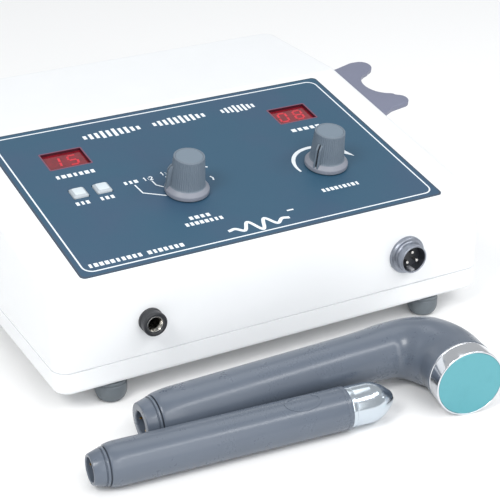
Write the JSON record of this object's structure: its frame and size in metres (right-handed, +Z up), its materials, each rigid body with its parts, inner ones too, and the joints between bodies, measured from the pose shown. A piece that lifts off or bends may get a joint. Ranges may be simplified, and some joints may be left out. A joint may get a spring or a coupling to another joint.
{
  "type": "ultrasound therapy device",
  "caption": "Bench ultrasound therapy console with a sloped control panel, rotary knobs, keys, sockets, a probe cradle, an angled applicator and a straight applicator.",
  "frame": {"origin": "on the table, below the middle of the whole set of console and applicators", "axes": "+X to the operator's right along the console's front, +Y from the front to the back of the console, +Z up"},
  "size_m": [0.3108, 0.3616, 0.1053],
  "materials": {
    "case_white": "satin moulded ABS",
    "foot_rubber": "matt",
    "screw_steel": "zinc plated",
    "panel_blue": "matt printed film on a plate",
    "window_red": "red filter acrylic",
    "display_dark": "gloss",
    "key_white": "satin",
    "black_plastic": "satin",
    "board_green": "solder mask",
    "knob_grey": "satin moulded",
    "nickel": "bright nickel",
    "connector_grey": "satin",
    "cradle_grey": "satin moulded",
    "handle_grey": "satin moulded",
    "bright_chrome": "polished",
    "contact_gold": "gold plated",
    "core_steel": "varnished laminations",
    "winding_copper": "enamelled wire and tape",
    "sink_aluminium": "extruded",
    "capacitor_blue": "sleeved",
    "ribbon_grey": "flat cable",
    "rocker_red": "gloss",
    "fuse_glass": "clear",
    "ceramic": "fired ceramic"
  },
  "bodies": {
    "console": {"upper_case": "case_white", "lower_case": "case_white", "feet": "foot_rubber", "base_screws": "screw_steel", "control_panel": "panel_blue", "minutes_window": "window_red", "intensity_window": "window_red", "minutes_display": "display_dark", "intensity_display": "display_dark", "key_switches": "black_plastic", "display_board": "board_green", "board_screws": "screw_steel", "mode_switch": "screw_steel", "mode_nut": "screw_steel", "intensity_pot": "screw_steel", "intensity_nut": "screw_steel", "jack_bushing": "black_plastic", "jack_sleeve": "nickel", "jack_body": "black_plastic", "socket_shell": "connector_grey", "socket_insert": "black_plastic", "socket_pins": "nickel", "socket_nut": "screw_steel", "probe_cradle": "cradle_grey", "cradle_screws": "screw_steel", "main_board": "board_green", "transformer_core": "core_steel", "transformer_coil": "winding_copper", "heat_sink": "sink_aluminium", "power_transistors": "black_plastic", "capacitors": "capacitor_blue", "tuning_coil": "winding_copper", "control_chips": "black_plastic", "ribbon_cable": "ribbon_grey", "mains_inlet": "black_plastic", "mains_inlet_pins": "nickel", "rocker_frame": "black_plastic", "fuse_holder": "black_plastic"},
    "mode_control": {"mode_knob": "knob_grey", "mode_shaft": "screw_steel"},
    "intensity_control": {"intensity_knob": "knob_grey", "intensity_shaft": "screw_steel"},
    "set_key": {"set_button": "key_white"},
    "reset_key": {"reset_button": "key_white"},
    "power_rocker": {"rocker_switch": "rocker_red"},
    "fuse_carrier": {"fuse_cap": "black_plastic", "fuse": "fuse_glass"},
    "large_applicator": {"large_handle": "handle_grey", "large_tail_cap": "handle_grey", "large_tail_socket": "black_plastic", "large_tail_pins": "contact_gold", "large_head": "bright_chrome", "large_crystal": "ceramic"},
    "small_applicator": {"small_handle": "handle_grey", "small_tail_cap": "handle_grey", "small_tail_socket": "black_plastic", "small_tail_pins": "contact_gold", "small_head": "bright_chrome", "small_crystal": "ceramic"}
  },
  "joints": [
    {"name": "mode_turn", "type": "hinge", "parent": "console", "child": "mode_control", "pos_m": [-0.03688, -0.01493, 0.0809], "axis": [0, -0.1688, 0.9856], "range_deg": [-150, 0]},
    {"name": "intensity_turn", "type": "hinge", "parent": "console", "child": "intensity_control", "pos_m": [0.05152, -0.01868, 0.08025], "axis": [0, -0.1688, 0.9856], "range_deg": [-270, 0]},
    {"name": "set_press", "type": "slide", "parent": "console", "child": "set_key", "axis": [0, -0.1688, 0.9856], "range_m": [-0.0008, 0], "stiffness_N_per_m": 600, "springref_m": 0.0008},
    {"name": "reset_press", "type": "slide", "parent": "console", "child": "reset_key", "axis": [0, -0.1688, 0.9856], "range_m": [-0.0008, 0], "stiffness_N_per_m": 600, "springref_m": 0.0008},
    {"name": "power_rock", "type": "hinge", "parent": "console", "child": "power_rocker", "pos_m": [-0.05878, 0.16954, 0.05], "axis": [1, 0, 0], "range_deg": [-16, 0]},
    {"name": "fuse_twist", "type": "hinge", "parent": "console", "child": "fuse_carrier", "pos_m": [-0.02278, 0.17054, 0.05], "axis": [0, 1, 0], "range_deg": [0, 60]},
    {"name": "large_lift", "type": "slide", "parent": "console", "child": "large_applicator", "axis": [0, 0, 1], "range_m": [0, 0.15]},
    {"name": "small_lift", "type": "slide", "parent": "console", "child": "small_applicator", "axis": [0, 0, 1], "range_m": [0, 0.15]}
  ]
}
